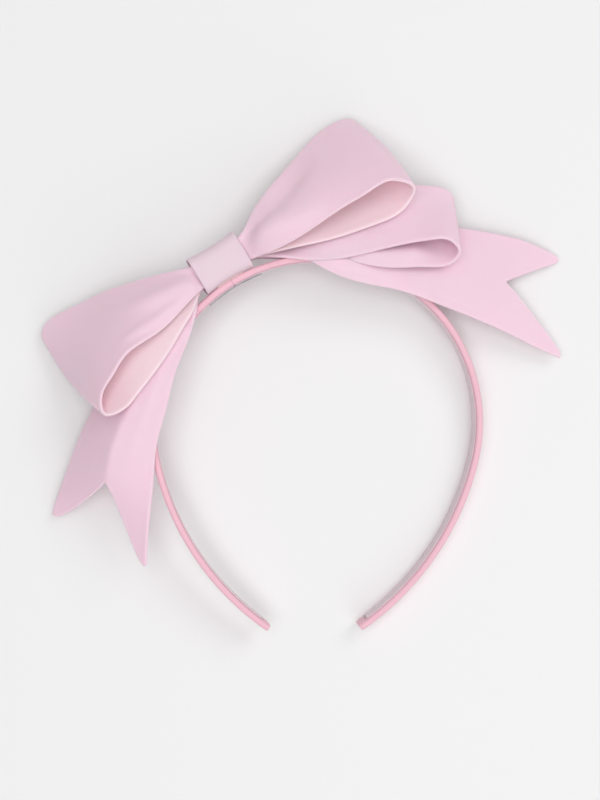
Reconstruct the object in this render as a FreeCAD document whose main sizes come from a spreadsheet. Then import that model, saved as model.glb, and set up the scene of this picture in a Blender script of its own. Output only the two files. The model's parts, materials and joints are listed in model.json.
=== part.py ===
"""A springy C-shaped hair band, covered in fabric, with a looped bow sewn on beside its crown.

The band is drawn flat in its own plane: X to the wearer's right arm, Y to the crown, Z across its width.
The bow is drawn in a frame at the knot: X along the bow, Y away from the head, Z across the band's width.
Both are then laid on a table the way the finished band rests, with +Z up.
"""
import FreeCAD, Part
import math
import os
from FreeCAD import Placement, Rotation, Vector

DIMENSIONS = {
    # the hoop's middle line: three arcs on each side, met end to end
    "crown_radius": 67.2,
    "side_radius": 68.2,
    "lower_radius": 114.5,
    "flex_angle": 52.0,
    "side_end_angle": 103.0,
    "tip_angle": 145.5,
    "flex_gap": 0.5,
    # the band's layers
    "core_thickness": 1.8,
    "core_width": 8.6,
    "cover_wall": 0.45,
    "cover_edge": 0.7,
    "lining_thickness": 0.4,
    "lining_width": 7.4,
    "plate_thickness": 0.6,
    "plate_width": 6.0,
    "plate_span_angle": 22.0,
    "layer_clearance": 0.02,
    # the bow's waist and knot
    "knot_angle": 32.4,
    "knot_length": 21.0,
    "knot_wall": 1.3,
    "knot_round": 2.6,
    "knot_clearance": 0.2,
    "waist_width": 9.8,
    "waist_layer_pitch": 2.5,
    "thread_size": 0.6,
    "thread_clearance": 0.2,
    "thread_turns": 4,
    "thread_pitch": 1.1,
    "glue_thickness": 0.5,
    "glue_length": 12.0,
    "glue_width": 7.0,
    # the bow's fabric
    "ribbon_width": 46.0,
    "ribbon_thickness": 1.6,
    "bow_rise": 20.0,
    "right_loop_reach": 82.0,
    "left_loop_reach": 76.0,
    "second_loop_reach": 96.0,
    "right_tail_reach": 123.0,
    "left_tail_reach": 112.0,
    "tail_clearance": 0.9,
    "tail_mouth_inset": 2.1,
    "notch_depth": 26.0,
    "notch_share": 0.92,
    "notch_overrun": 1.4,
    # how it rests on the table
    "lean_left": 6.5,
    "lean_crown": 3.0,
    "turn": 0.56,
}

doc = FreeCAD.newDocument("hair_band")
sheet = doc.addObject("Spreadsheet::Sheet", "dims")
NODES = []


def fill_sheet():
    """Write each driving dimension beside its name and give the cell that name as its alias."""
    for row, (name, value) in enumerate(DIMENSIONS.items(), start=1):
        sheet.set("A%d" % row, name)
        sheet.set("B%d" % row, str(value))
        sheet.setAlias("B%d" % row, name)
    doc.recompute()


def dim(name):
    """Read one driving dimension from the sheet as a plain number."""
    return float(sheet.get(name))


def bind(item, **expressions):
    """Tie properties to sheet expressions; a double underscore in a name stands for a dot."""
    for name, expression in expressions.items():
        item.setExpression(name.replace("__", "."), expression)


def keep(item, label):
    """Name a finished sub-part and list it for export."""
    item.Label = label
    NODES.append(item)
    return item


# ---------------------------------------------------------------- the band

COVER_THICKNESS = "(dims.core_thickness + 2 * dims.cover_wall)"
COVER_WIDTH = "(dims.core_width + 2 * dims.cover_edge)"
LINING_OFFSET = "(-%s / 2 - dims.lining_thickness / 2 - dims.layer_clearance)" % COVER_THICKNESS
PLATE_OFFSET = ("(%s - dims.lining_thickness / 2 - dims.plate_thickness / 2 - dims.layer_clearance)"
                % LINING_OFFSET)
SIDE_X = "((dims.crown_radius - dims.side_radius) * sin(dims.flex_angle * 1deg))"
SIDE_Y = "((dims.crown_radius - dims.side_radius) * cos(dims.flex_angle * 1deg))"
LOWER_X = "(%s + (dims.side_radius - dims.lower_radius) * sin(dims.side_end_angle * 1deg))" % SIDE_X
LOWER_Y = "(%s + (dims.side_radius - dims.lower_radius) * cos(dims.side_end_angle * 1deg))" % SIDE_Y
HALF_GAP_ANGLE = "(dims.flex_gap / 2 / dims.crown_radius * 180 / pi)"


def sector_cylinder(name, radius, width, centre, start, sweep):
    """One solid pie slice of a cylinder, centred on the band's plane."""
    slice_ = doc.addObject("Part::Cylinder", name)
    slice_.Placement = Placement(Vector(0, 0, 0), Rotation(Vector(0, 0, 1), 1))
    bind(slice_, Radius=radius, Height=width, Angle=sweep, Placement__Base__x=centre[0],
         Placement__Base__y=centre[1], Placement__Base__z="-(%s) / 2" % width,
         Placement__Rotation__Angle=start)
    return slice_


def ring_sector(name, arc, offset, thickness, width):
    """A curved bar: the part of a flat ring between two angles. An arc is radius, centre, start, sweep."""
    radius, centre, start, sweep = arc
    outside = sector_cylinder(name + "_outside", "%s + %s + %s / 2" % (radius, offset, thickness),
                              width, centre, start, sweep)
    inside = sector_cylinder(name + "_inside", "%s + %s - %s / 2" % (radius, offset, thickness),
                             width, centre, "0", "360")
    bar = doc.addObject("Part::Cut", name)
    bar.Base = outside
    bar.Tool = inside
    return bar


def crown_arc():
    """The arc over the crown, from flex line to flex line."""
    half = "(dims.flex_angle - %s)" % HALF_GAP_ANGLE
    return ("dims.crown_radius", ("0", "0"), "90 - %s" % half, "2 * %s" % half)


def arm_arcs(side):
    """The two arcs of one arm; side is +1 for the right arm and -1 for the left."""
    first = "(dims.flex_angle + %s)" % HALF_GAP_ANGLE
    pairs = ((("dims.side_radius", SIDE_X, SIDE_Y), first, "dims.side_end_angle"),
             (("dims.lower_radius", LOWER_X, LOWER_Y), "dims.side_end_angle", "dims.tip_angle"))
    arcs = []
    for (radius, centre_x, centre_y), start, end in pairs:
        begin = "90 - %s" % end if side > 0 else "90 + %s" % start
        arcs.append((radius, ("%d * %s" % (side, centre_x), centre_y), begin, "%s - %s" % (end, start)))
    return arcs


def arm_bar(name, side, offset, thickness, width, tip=None):
    """Both arcs of an arm as one bar, with an optional rounded tip."""
    pieces = [ring_sector("%s_%d" % (name, i), arc, offset, thickness, width)
              for i, arc in enumerate(arm_arcs(side))]
    if tip:
        pieces.append(tip)
    whole = doc.addObject("Part::MultiFuse", name)
    whole.Shapes = pieces
    whole.Refine = True
    return whole


def tip_round(name, side):
    """The rounded end of the cover at a tip: a round bar across the band's width."""
    end = doc.addObject("Part::Cylinder", name)
    reach_x = "%d * (%s + dims.lower_radius * sin(dims.tip_angle * 1deg))" % (side, LOWER_X)
    reach_y = "%s + dims.lower_radius * cos(dims.tip_angle * 1deg)" % LOWER_Y
    bind(end, Radius=COVER_THICKNESS + " / 2", Height=COVER_WIDTH, Placement__Base__x=reach_x,
         Placement__Base__y=reach_y, Placement__Base__z="-%s / 2" % COVER_WIDTH)
    return end


def hollowed(name, whole, cavity):
    """A sleeve: the whole bar less the bar that fills it."""
    sleeve = doc.addObject("Part::Cut", name)
    sleeve.Base = whole
    sleeve.Tool = cavity
    return sleeve


def build_crown():
    """Core, cover and lining over the crown, and the metal plate under the knot."""
    arc = crown_arc()
    core = ring_sector("core_crown", arc, "0", "dims.core_thickness", "dims.core_width")
    whole = ring_sector("cover_crown_whole", arc, "0", COVER_THICKNESS, COVER_WIDTH)
    cavity = ring_sector("cover_crown_cavity", arc, "0", "dims.core_thickness", "dims.core_width")
    lining = ring_sector("lining_crown", arc, LINING_OFFSET, "dims.lining_thickness", "dims.lining_width")
    plate_arc = (arc[0], arc[1], "90 + dims.knot_angle - dims.plate_span_angle / 2", "dims.plate_span_angle")
    plate = ring_sector("inner_plate", plate_arc, PLATE_OFFSET, "dims.plate_thickness", "dims.plate_width")
    return [keep(core, "core_crown"), keep(hollowed("cover_crown", whole, cavity), "cover_crown"),
            keep(lining, "lining_crown"), keep(plate, "inner_plate")]


def build_arm(word, side):
    """Core, cover and lining of one arm, from the flex line to the tip."""
    core = arm_bar("core_" + word, side, "0", "dims.core_thickness", "dims.core_width")
    whole = arm_bar("cover_%s_whole" % word, side, "0", COVER_THICKNESS, COVER_WIDTH,
                    tip_round("cover_%s_tip" % word, side))
    cavity = arm_bar("cover_%s_cavity" % word, side, "0", "dims.core_thickness", "dims.core_width")
    lining = arm_bar("lining_" + word, side, LINING_OFFSET, "dims.lining_thickness", "dims.lining_width")
    return [keep(core, "core_" + word), keep(hollowed("cover_" + word, whole, cavity), "cover_" + word),
            keep(lining, "lining_" + word)]


# ---------------------------------------------------------------- the waist and the knot

THREAD_INSIDE_WIDTH = "(dims.waist_width + 2 * dims.thread_clearance)"
THREAD_INSIDE_DEPTH = "(4 * dims.waist_layer_pitch + dims.ribbon_thickness + 2 * dims.thread_clearance)"
KNOT_INSIDE_WIDTH = "(%s + 2 * dims.thread_size + 2 * dims.knot_clearance)" % THREAD_INSIDE_WIDTH
KNOT_INSIDE_DEPTH = "(%s + 2 * dims.thread_size + 2 * dims.knot_clearance)" % THREAD_INSIDE_DEPTH


def centred_box(kind, name, length, width, depth, centre_x="0", owner=None):
    """A box of this kind, centred on the bow's line apart from an optional shift along it."""
    box = owner.newObject(kind, name) if owner else doc.addObject(kind, name)
    bind(box, Length=length, Width=width, Height=depth)
    for axis, expression in zip("xyz", ("%s - (%s) / 2" % (centre_x, length), "-(%s) / 2" % width,
                                        "-(%s) / 2" % depth)):
        box.setExpression("Placement.Base.%s" % axis, expression)
    return box


def build_knot():
    """The knot wrap: a tube of fabric with rounded corners round the waist."""
    body = doc.addObject("PartDesign::Body", "knot_wrap")
    outer = centred_box("PartDesign::AdditiveBox", "knot_outside", "dims.knot_length",
                        KNOT_INSIDE_WIDTH + " + 2 * dims.knot_wall",
                        KNOT_INSIDE_DEPTH + " + 2 * dims.knot_wall", owner=body)
    doc.recompute()
    rounding = body.newObject("PartDesign::Fillet", "knot_rounding")
    rounding.Base = (outer, long_edges(outer.Shape))
    bind(rounding, Radius="dims.knot_round")
    doc.recompute()
    centred_box("PartDesign::SubtractiveBox", "knot_inside", "dims.knot_length + 2", KNOT_INSIDE_WIDTH,
                KNOT_INSIDE_DEPTH, owner=body)
    return keep(body, "knot_wrap")


def long_edges(shape):
    """Names of the straight edges that run along the bow."""
    names = []
    for number, edge in enumerate(shape.Edges, start=1):
        way = edge.Vertexes[-1].Point - edge.Vertexes[0].Point
        if abs(way.x) > abs(way.y) + abs(way.z):
            names.append("Edge%d" % number)
    return names


def build_thread():
    """The turns of thread that draw the waist in, side by side."""
    turns = []
    for turn in range(int(dim("thread_turns"))):
        shift = "(%d - (dims.thread_turns - 1) / 2) * dims.thread_pitch" % turn
        outside = centred_box("Part::Box", "thread_outside_%d" % turn, "dims.thread_size",
                              THREAD_INSIDE_WIDTH + " + 2 * dims.thread_size",
                              THREAD_INSIDE_DEPTH + " + 2 * dims.thread_size", shift)
        inside = centred_box("Part::Box", "thread_inside_%d" % turn, "dims.thread_size",
                             THREAD_INSIDE_WIDTH, THREAD_INSIDE_DEPTH, shift)
        turns.append(hollowed("thread_turn_%d" % turn, outside, inside))
    group = doc.addObject("Part::Compound", "waist_thread")
    group.Links = turns
    return keep(group, "waist_thread")


def knot_distance():
    """How far the knot's centre stands from the crown arc's centre."""
    cover = dim("core_thickness") / 2 + dim("cover_wall")
    half_knot = (dim("waist_width") / 2 + dim("thread_clearance") + dim("thread_size")
                 + dim("knot_clearance") + dim("knot_wall"))
    return dim("crown_radius") + cover + dim("glue_thickness") + half_knot


def build_glue():
    """The bead that fills the space between the knot's flat back and the band's round outer face."""
    block = doc.addObject("Part::Box", "glue_block")
    back = "-(%s / 2 + dims.knot_wall)" % KNOT_INSIDE_WIDTH
    deep = "(dims.glue_thickness + dims.core_thickness)"
    bind(block, Length="dims.glue_length", Width=deep, Height="dims.glue_width",
         Placement__Base__x="-dims.glue_length / 2", Placement__Base__y="%s - %s" % (back, deep),
         Placement__Base__z="-dims.glue_width / 2")
    round_ = doc.addObject("Part::Cylinder", "glue_round")
    bind(round_, Radius="dims.crown_radius + %s / 2" % COVER_THICKNESS, Height="2 * dims.glue_width",
         Placement__Base__y="%s - dims.glue_thickness - dims.crown_radius - %s / 2" % (back, COVER_THICKNESS),
         Placement__Base__z="-dims.glue_width")
    return keep(hollowed("glue_pad", block, round_), "glue_pad")


# ---------------------------------------------------------------- the bow's fabric
#
# A ribbon is a row of stations. A station is the ribbon's cross line at one place: points from the
# outer edge, away from the head, to the inner edge. Along the bow a point is a share of the ribbon's
# reach, outwards a share of the ribbon's width, and up a share of the bow's rise.

RIGHT_LOOP = [
    ((0.30, 0.28, 0.10), (0.31, -0.13, 0.76)),
    ((0.56, 0.44, -0.28), (0.52, -0.15, 1.02)),
    ((0.77, 0.54, -0.52), (0.74, -0.15, 1.10)),
    ((0.89, 0.55, -0.62), (0.92, -0.17, 1.02)),
    ((0.94, 0.52, -0.76), (1.00, -0.32, 0.80)),
    ((0.89, 0.52, -0.90), (0.93, -0.42, 0.62)),
    ((0.74, 0.47, -0.93), (0.78, -0.43, 0.62)),
    ((0.53, 0.35, -0.80), (0.49, -0.33, 0.70)),
    ((0.30, 0.19, -0.38), (0.31, -0.19, 0.60)),
]
LEFT_LOOP = [
    ((-0.21, 0.16, 0.15), (-0.19, -0.10, 0.56)),
    ((-0.36, 0.24, -0.06), (-0.29, -0.16, 0.72)),
    ((-0.58, 0.32, -0.56), (-0.55, -0.23, 1.00)),
    ((-0.80, 0.37, -0.95), (-0.75, -0.29, 1.00)),
    ((-0.92, 0.37, -1.07), (-0.90, -0.45, 0.92)),
    ((-1.00, 0.31, -1.18), (-0.92, -0.62, 0.78)),
    ((-1.00, 0.23, -1.27), (-0.82, -0.64, 0.66)),
    ((-0.90, 0.18, -1.30), (-0.66, -0.55, 0.76)),
    ((-0.68, 0.15, -1.00), (-0.46, -0.41, 0.76)),
    ((-0.42, 0.13, -0.40), (-0.30, -0.24, 0.66)),
    ((-0.21, 0.12, 0.0), (-0.20, -0.11, 0.42)),
]
SECOND_LOOP = [
    ((0.27, 0.01, -0.51), (0.26, -0.20, 0.10)),
    ((0.50, -0.03, -0.50), (0.42, -0.41, 0.35)),
    ((0.76, -0.16, -0.40), (0.60, -0.65, 0.50)),
    ((0.90, -0.31, -0.34), (0.76, -0.77, 0.56)),
    ((0.98, -0.46, -0.34), (0.87, -0.87, 0.50)),
    ((1.00, -0.58, -0.36), (0.90, -0.98, 0.40)),
    ((0.97, -0.60, -0.34), (0.86, -1.07, 0.30)),
    ((0.86, -0.48, -0.30), (0.79, -1.03, 0.30)),
    ((0.70, -0.39, -0.26), (0.65, -0.88, 0.30)),
    ((0.44, -0.22, -0.26), (0.42, -0.48, 0.26)),
    ((0.27, -0.03, -0.56), (0.27, -0.21, 0.04)),
]
RIGHT_TAIL = [
    ((0.13, 0.02, -0.58), (0.13, -0.07, -0.50), (0.13, -0.15, -0.41)),
    ((0.23, -0.09, -0.78), (0.21, -0.15, -0.38), (0.19, -0.21, -0.13)),
    ((0.31, -0.15, -0.88), (0.25, -0.23, -0.20), (0.22, -0.27, 0.0)),
    ((0.39, -0.26, -0.74), (0.30, -0.38, -0.03), (0.27, -0.55, 0.0)),
    ((0.59, -0.56, -0.58), (0.47, -0.78, -0.03), (0.40, -0.89, 0.0)),
    ((0.81, -0.94, -0.53), (0.60, -1.24, -0.03), (0.56, -1.35, 0.0)),
    ((1.00, -1.58, -0.41), (0.91, -1.96, -0.36), (0.82, -2.31, -0.36)),
]
LEFT_TAIL = [
    ((-0.12, 0.07, -0.49), (-0.12, -0.07, -0.36), (-0.12, -0.15, -0.25)),
    ((-0.19, 0.02, -0.61), (-0.17, -0.16, -0.15), (-0.15, -0.20, 0.0)),
    ((-0.25, -0.04, -0.71), (-0.22, -0.23, -0.02), (-0.19, -0.33, 0.0)),
    ((-0.44, -0.22, -0.84), (-0.39, -0.40, -0.02), (-0.34, -0.59, 0.0)),
    ((-0.60, -0.46, -0.93), (-0.54, -0.65, -0.02), (-0.46, -0.86, 0.0)),
    ((-0.74, -0.67, -1.03), (-0.67, -0.91, -0.03), (-0.60, -1.24, 0.0)),
    ((-1.00, -1.14, -1.23), (-0.92, -1.56, -0.53), (-0.80, -1.94, 0.0)),
]
STATIONS_PER_SPAN = 4


def stations_in_place(stations, reach, base):
    """Turn shares into places: along by reach, outwards by ribbon width, up by the bow's rise."""
    width, rise = dim("ribbon_width"), dim("bow_rise")
    return [[Vector(x * reach, y * width, base + z * rise) for x, y, z in line] for line in stations]


def waist_lines(side, layer, points, mouth):
    """The ribbon's cross lines inside the knot: flat, drawn in to the waist, on its own layer."""
    half = dim("waist_width") / 2
    height = (2 - layer) * dim("waist_layer_pitch")
    inside = dim("thread_pitch") / 2
    return [[Vector(side * along, half - 2 * half * i / (points - 1), height) for i in range(points)]
            for along in (inside, (inside + mouth) / 2, mouth)]


def station_normals(lines):
    """At each point, the unit direction square to the ribbon."""
    normals = []
    for i, line in enumerate(lines):
        before, after = lines[max(i - 1, 0)], lines[min(i + 1, len(lines) - 1)]
        row = []
        for j in range(len(line)):
            along = after[j] - before[j]
            across = line[min(j + 1, len(line) - 1)] - line[max(j - 1, 0)]
            row.append(along.cross(across).normalize())
        normals.append(row)
    return normals


def even_lines(lines):
    """Add stations between the given ones, on smooth curves that share one spacing along the ribbon."""
    places = [0.0]
    for before, after in zip(lines, lines[1:]):
        steps = [(b - a).Length for a, b in zip(before, after)]
        places.append(places[-1] + sum(steps) / len(steps))
    count = STATIONS_PER_SPAN * (len(lines) - 1)
    columns = []
    for column in zip(*lines):
        curve = Part.BSplineCurve()
        curve.interpolate(Points=list(column), Parameters=places)
        columns.append([curve.value(places[-1] * i / count) for i in range(count + 1)])
    return [list(line) for line in zip(*columns)]


def end_cap(top, under):
    """The flat faces that close a ribbon's end, one between each pair of points across it."""
    faces = []
    for i in range(len(top) - 1):
        corners = [top[i], top[i + 1], under[i + 1], under[i], top[i]]
        faces.append(Part.Face(Part.makePolygon(corners)))
    return faces


def ribbon_solid(lines):
    """A ribbon of even thickness: the outline of every station, joined to the next by straight lines."""
    lines = even_lines(lines)
    half = dim("ribbon_thickness") / 2
    normals = station_normals(lines)
    for end in (0, -1):
        middle = sum(normals[end], Vector()).normalize()
        normals[end] = [middle] * len(normals[end])
    sides = [([point + normal * half for point, normal in zip(line, row)],
              [point - normal * half for point, normal in zip(line, row)])
             for line, row in zip(lines, normals)]
    outlines = [Part.makePolygon(top + under[::-1] + top[:1]) for top, under in sides]
    faces = Part.makeLoft(outlines, False, True).Faces + end_cap(*sides[0]) + end_cap(*sides[-1])
    shell = Part.makeShell(faces)
    shell.sewShape()
    solid = Part.makeSolid(shell)
    if solid.Volume < 0:
        solid.reverse()
    return solid


def swallow_cut(lines):
    """The wedge cut out of a tail's end: its point is notch_depth in from the end line's middle."""
    end, last = lines[-1], lines[-2]
    middle = (end[0] + end[-1]) * 0.5
    inward = ((last[0] + last[-1]) * 0.5 - middle).normalize()
    across = end[-1] - end[0]
    up = across.cross(inward).normalize() * dim("ribbon_width")
    mouth = middle - inward * (dim("notch_depth") * (dim("notch_overrun") - 1))
    spread = across * (dim("notch_share") * dim("notch_overrun") / 2)
    corners = [middle + inward * dim("notch_depth"), mouth + spread, mouth - spread]
    outline = Part.makePolygon([corner - up * 0.5 for corner in corners + corners[:1]])
    return Part.Face(outline).extrude(up)


def add_ribbon(label, lines, cut=None):
    """Make one ribbon a sub-part of the document."""
    shape = ribbon_solid(lines)
    if cut:
        shape = shape.cut(cut)
    item = doc.addObject("Part::Feature", label)
    item.Shape = shape
    return keep(item, label)


def over_band():
    """Height at which a ribbon passes clear over the band."""
    return dim("core_width") / 2 + dim("cover_edge") + dim("ribbon_thickness") / 2 + dim("tail_clearance")


def build_loop(label, stations, side, layers, reach, base=0.0):
    """A loop leaves the knot on its upper layer, folds over and comes back on its lower one."""
    upper, lower = layers
    mouth = dim("knot_length") / 2
    lines = waist_lines(side, upper, 2, mouth)
    lines += stations_in_place(stations, dim(reach), base)
    lines += waist_lines(side, lower, 2, mouth)[::-1]
    return add_ribbon(label, lines)


def build_tail(label, stations, side, layer, reach):
    """A tail leaves the knot, crosses over the band and ends in a swallow tail."""
    mouth = dim("knot_length") / 2 - dim("tail_mouth_inset")
    lines = waist_lines(side, layer, len(stations[0]), mouth)
    lines += stations_in_place(stations, dim(reach), over_band())
    return add_ribbon(label, lines, swallow_cut(lines))


def build_bow():
    """Knot, thread, glue and the five ribbons, all in the knot's frame."""
    first = len(NODES)
    build_knot()
    build_thread()
    build_glue()
    build_loop("right_loop", RIGHT_LOOP, 1, (0, 1), "right_loop_reach")
    build_loop("left_loop", LEFT_LOOP, -1, (0, 1), "left_loop_reach")
    build_loop("second_loop", SECOND_LOOP, 1, (2, 3), "second_loop_reach", over_band())
    build_tail("right_tail", RIGHT_TAIL, 1, 4, "right_tail_reach")
    build_tail("left_tail", LEFT_TAIL, -1, 2, "left_tail_reach")
    return NODES[first:]


# ---------------------------------------------------------------- laying it on the table

def rest_rotation():
    """The band lies turned a little, with its left arm and its crown propped up by the bow."""
    turn = Rotation(Vector(0, 0, 1), -dim("turn"))
    left = Rotation(Vector(0, 1, 0), dim("lean_left"))
    crown = Rotation(Vector(1, 0, 0), dim("lean_crown"))
    return turn.multiply(left).multiply(crown)


def knot_placement():
    """The knot's frame, seen from the band's frame."""
    angle = math.radians(dim("knot_angle"))
    away = Vector(-math.sin(angle), math.cos(angle), 0)
    return Placement(away * knot_distance(), Rotation(Vector(0, 0, 1), dim("knot_angle")))


def lay_down(band_nodes, bow_nodes):
    """Give every sub-part its place, with the table at height 0 and the origin under the middle."""
    tilt = Placement(Vector(0, 0, 0), rest_rotation())
    for node in band_nodes:
        node.Placement = tilt
    for node in bow_nodes:
        node.Placement = tilt.multiply(knot_placement())
    doc.recompute()
    box = FreeCAD.BoundBox()
    for node in NODES:
        box.add(node.Shape.optimalBoundingBox(False))
    shift = Placement(Vector(-box.Center.x, -box.Center.y, -box.ZMin), Rotation())
    for node in NODES:
        node.Placement = shift.multiply(node.Placement)
    doc.recompute()
    return shift.multiply(tilt), box


def report(place, box):
    """Print the places that the joints and mounts need, and each sub-part's volume."""
    for word, side in (("left", -1), ("right", 1)):
        angle = math.radians(dim("flex_angle"))
        spot = Vector(side * math.sin(angle), math.cos(angle), 0) * dim("crown_radius")
        print(word, "flex line", place.multVec(spot))
    print("across the band", place.Rotation.multVec(Vector(0, 0, 1)), "band centre", place.Base)
    print("size", box.XLength, box.YLength, box.ZLength)
    for node in NODES:
        print(node.Label, "solids", len(node.Shape.Solids), "volume", round(node.Shape.Volume, 1))


def check_objects():
    """Stop if any object failed or any sub-part is empty or not valid."""
    for item in doc.Objects:
        if "Invalid" in item.State or "Error" in item.State:
            raise RuntimeError("%s is %s" % (item.Name, item.State))
    for node in NODES:
        if node.Shape.isNull() or not node.Shape.isValid() or not node.Shape.Solids:
            raise RuntimeError("%s has no valid solid" % node.Label)


def export_nodes():
    """Write one STEP file per sub-part."""
    os.makedirs("parts", exist_ok=True)
    for node in NODES:
        node.Shape.exportStep("parts/%s.step" % node.Label)


fill_sheet()
band = build_crown() + build_arm("left_arm", -1) + build_arm("right_arm", 1)
bow = build_bow()
doc.recompute()
rest_place, full_box = lay_down(band, bow)
check_objects()
report(rest_place, full_box)
export_nodes()
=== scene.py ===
"""Bow hair band: the looks of a springy, fabric-covered hoop with a big soft bow, laid flat on a table.

It is laid out as a Blender add-on and run as a script. Lengths are metres unless a name or comment says
millimetres. Three frames are used: the row's own frame, the band's frame (to the right arm, to the crown,
across the band's width) and the bow's frame (along the bow, away from the head, across the band's width).
"""

import json
import math

import bpy
import numpy as np
from bpy.props import FloatProperty, FloatVectorProperty, IntProperty, PointerProperty
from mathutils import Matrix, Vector


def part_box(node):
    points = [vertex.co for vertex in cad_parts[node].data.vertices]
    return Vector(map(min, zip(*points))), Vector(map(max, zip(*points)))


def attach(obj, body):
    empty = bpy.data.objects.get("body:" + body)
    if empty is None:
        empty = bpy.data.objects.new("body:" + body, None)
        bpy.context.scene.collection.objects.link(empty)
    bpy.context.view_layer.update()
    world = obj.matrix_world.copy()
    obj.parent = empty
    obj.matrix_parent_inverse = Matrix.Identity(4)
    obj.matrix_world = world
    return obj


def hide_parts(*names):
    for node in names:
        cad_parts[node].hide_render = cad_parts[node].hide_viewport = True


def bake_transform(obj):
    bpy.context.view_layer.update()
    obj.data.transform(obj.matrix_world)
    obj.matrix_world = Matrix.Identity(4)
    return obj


bl_info = {
    "name": "Bow Hair Band",
    "version": (1, 0, 0),
    "blender": (4, 5, 0),
    "location": "3D View > Sidebar > Hair Band",
    "description": "Builds the fabric of a hair band and its bow round the packed hoop",
    "category": "Object",
}

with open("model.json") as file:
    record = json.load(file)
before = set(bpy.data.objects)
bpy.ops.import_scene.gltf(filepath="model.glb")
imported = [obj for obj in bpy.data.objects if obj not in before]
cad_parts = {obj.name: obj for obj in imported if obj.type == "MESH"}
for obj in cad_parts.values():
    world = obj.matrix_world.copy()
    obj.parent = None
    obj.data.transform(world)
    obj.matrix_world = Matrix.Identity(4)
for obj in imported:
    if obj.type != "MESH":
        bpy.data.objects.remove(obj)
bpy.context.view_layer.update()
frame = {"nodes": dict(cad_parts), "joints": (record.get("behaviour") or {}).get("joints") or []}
MM = 0.001


# ---------------------------------------------------------------- frames

def unit(vectors):
    """Vectors made one long."""
    vectors = np.asarray(vectors, float)
    return vectors / np.maximum(np.linalg.norm(vectors, axis=-1, keepdims=True), 1e-12)


def middle_of(node):
    """The middle of a CAD node's box."""
    low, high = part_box(node)
    return (np.array(low) + np.array(high)) / 2


JOINTS = {joint["name"]: joint for joint in frame["joints"]}
LEFT_HINGE = np.array(JOINTS["left_arm_flex"]["pos_m"])
RIGHT_HINGE = np.array(JOINTS["right_arm_flex"]["pos_m"])
ACROSS = unit(JOINTS["right_arm_flex"]["axis"])
TO_RIGHT = unit(RIGHT_HINGE - LEFT_HINGE)
TO_CROWN = np.cross(ACROSS, TO_RIGHT)

# The hoop's middle line turns from the crown to a tip in three arcs, which end at these angles, in degrees.
FLEX_ANGLE = 52.0
SIDE_END_ANGLE = 103.0
TIP_ANGLE = 145.5
CROWN_RADIUS = np.linalg.norm(RIGHT_HINGE - LEFT_HINGE) / 2 / math.sin(math.radians(FLEX_ANGLE))
SIDE_RADIUS = 68.2 * MM
LOWER_RADIUS = 114.5 * MM
GLOW = {"band": 0.0, "knot": 0.1, "bow": 0.5}
BAND_CENTRE = (LEFT_HINGE + RIGHT_HINGE) / 2 - TO_CROWN * CROWN_RADIUS * math.cos(math.radians(FLEX_ANGLE))

KNOT_CENTRE = middle_of("knot_wrap")
AWAY = unit(KNOT_CENTRE - BAND_CENTRE)
ALONG = np.cross(AWAY, ACROSS)
KNOT_ANGLE = -math.degrees(math.atan2(AWAY @ TO_RIGHT, AWAY @ TO_CROWN))


def in_bow(points_mm):
    """Points of the bow's frame, in millimetres, as places in the row's frame."""
    axes = np.stack([ALONG, AWAY, ACROSS])
    return KNOT_CENTRE + np.asarray(points_mm, float) @ axes * MM


def arc_centres(size):
    """For angles from the crown: the arc's radius and its centre, to the right and to the crown."""
    flex, side_end = math.radians(FLEX_ANGLE), math.radians(SIDE_END_ANGLE)
    side_x = (CROWN_RADIUS - SIDE_RADIUS) * math.sin(flex)
    side_y = (CROWN_RADIUS - SIDE_RADIUS) * math.cos(flex)
    lower_x = side_x + (SIDE_RADIUS - LOWER_RADIUS) * math.sin(side_end)
    lower_y = side_y + (SIDE_RADIUS - LOWER_RADIUS) * math.cos(side_end)
    arcs = [size <= FLEX_ANGLE, size <= SIDE_END_ANGLE]
    return (np.select(arcs, [CROWN_RADIUS, SIDE_RADIUS], LOWER_RADIUS),
            np.select(arcs, [0.0, side_x], lower_x), np.select(arcs, [0.0, side_y], lower_y))


def beside_hoop(angles, out, rise):
    """Points beside the hoop's middle line: at an angle from the crown (to the right above 0), the arc's
    centre plus its radius and `out` along the angle's direction, plus `rise` across the band's width."""
    side, size = np.where(angles < 0, -1.0, 1.0), np.abs(angles)
    radius, centre_x, centre_y = arc_centres(size)
    way = np.radians(size)
    x = side * (centre_x + (radius + out) * np.sin(way))
    y = centre_y + (radius + out) * np.cos(way)
    flat = x[..., None] * TO_RIGHT + y[..., None] * TO_CROWN
    return BAND_CENTRE + flat + np.asarray(rise)[..., None] * ACROSS


def hoop_length(angles):
    """Distance along the hoop's middle line from the crown, for angles of one side, with their sign."""
    size = np.abs(angles)
    flex, side_end = FLEX_ANGLE, SIDE_END_ANGLE
    length = (np.minimum(size, flex) * CROWN_RADIUS + np.clip(size - flex, 0, side_end - flex) * SIDE_RADIUS
              + np.maximum(size - side_end, 0) * LOWER_RADIUS)
    return np.sign(angles) * np.radians(length)


# ---------------------------------------------------------------- surfaces and meshes

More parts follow.
